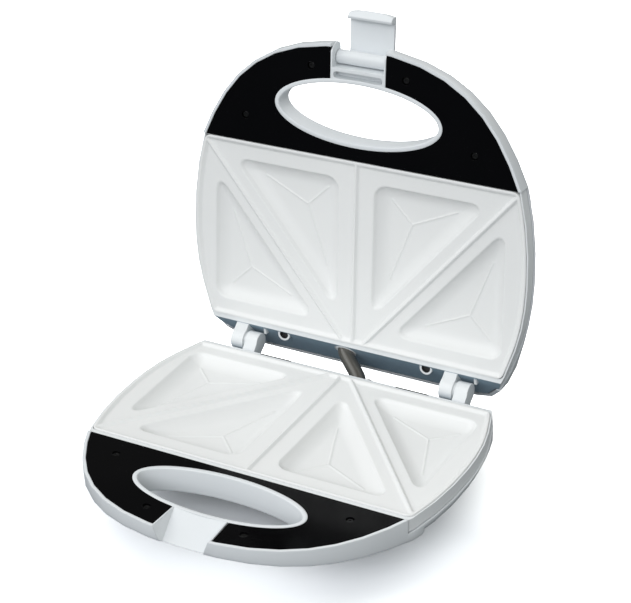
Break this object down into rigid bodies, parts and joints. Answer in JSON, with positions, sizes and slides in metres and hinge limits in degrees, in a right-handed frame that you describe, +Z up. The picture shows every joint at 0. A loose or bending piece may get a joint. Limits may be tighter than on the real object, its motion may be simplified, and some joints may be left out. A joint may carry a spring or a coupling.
{
  "type": "sandwich maker",
  "caption": "Hinged sandwich maker with triangular-pocket plates, oval handle openings and a flip-up front latch, standing open.",
  "frame": {"origin": "centre of the bounding box in plan, at the level of the surface that the feet stand on", "axes": "+X to the right along the hinge as seen from the handles, +Y to the rear, +Z up"},
  "size_m": [0.2376, 0.2602, 0.2735],
  "materials": {
    "white_shell": "glossy",
    "white_frame": "satin",
    "plate_coating": "satin",
    "black_inlay": "glossy",
    "steel": "satin",
    "dark_steel": "satin",
    "aluminium": "satin",
    "rubber": "matt",
    "sleeve": "satin",
    "ceramic": "matt",
    "red_lens": "glossy",
    "green_lens": "glossy",
    "lamp_glass": "glossy"
  },
  "bodies": {
    "base": {"base_shell": "white_shell", "base_frame": "white_frame", "base_handle_inlay": "black_inlay", "base_inlay_screw_1": "dark_steel", "base_inlay_screw_2": "dark_steel", "base_inlay_screw_3": "dark_steel", "base_inlay_screw_4": "dark_steel", "lower_plate": "plate_coating", "lower_heating_element": "dark_steel", "lower_reflector": "aluminium", "lower_clamp_screw_front": "steel", "lower_clamp_screw_rear": "steel", "lower_thermostat": "ceramic", "thermal_fuse": "ceramic", "terminal_block": "ceramic", "cord_gland": "rubber", "conduit_grommet_lower": "white_frame", "foot_front_left": "rubber", "foot_rear_left": "rubber", "foot_front_right": "rubber", "foot_rear_right": "rubber", "hinge_pin_left": "steel", "hinge_pin_right": "steel", "interlink_conduit": "sleeve"},
    "lid": {"lid_shell": "white_shell", "lid_frame": "white_frame", "lid_handle_inlay": "black_inlay", "lid_inlay_screw_1": "dark_steel", "lid_inlay_screw_2": "dark_steel", "lid_inlay_screw_3": "dark_steel", "lid_inlay_screw_4": "dark_steel", "upper_plate": "plate_coating", "upper_heating_element": "dark_steel", "upper_reflector": "aluminium", "upper_clamp_screw_front": "steel", "upper_clamp_screw_rear": "steel", "upper_thermostat": "ceramic", "conduit_grommet_upper": "white_frame", "lid_well_screw_left": "dark_steel", "lid_well_screw_right": "dark_steel", "power_lens": "red_lens", "ready_lens": "green_lens", "power_lamp": "lamp_glass", "ready_lamp": "lamp_glass", "latch_pin": "steel"},
    "latch": {"latch": "white_shell"}
  },
  "joints": [
    {"name": "lid_hinge", "type": "hinge", "parent": "base", "child": "lid", "pos_m": [0, 0.08339, 0.0435], "axis": [1, 0, 0], "range_deg": [0, 93.4], "deforming": ["interlink_conduit"]},
    {"name": "latch_hinge", "type": "hinge", "parent": "lid", "child": "latch", "pos_m": [0, 0.10446, 0.24631], "axis": [1, 0, 0], "range_deg": [0, 90]}
  ]
}
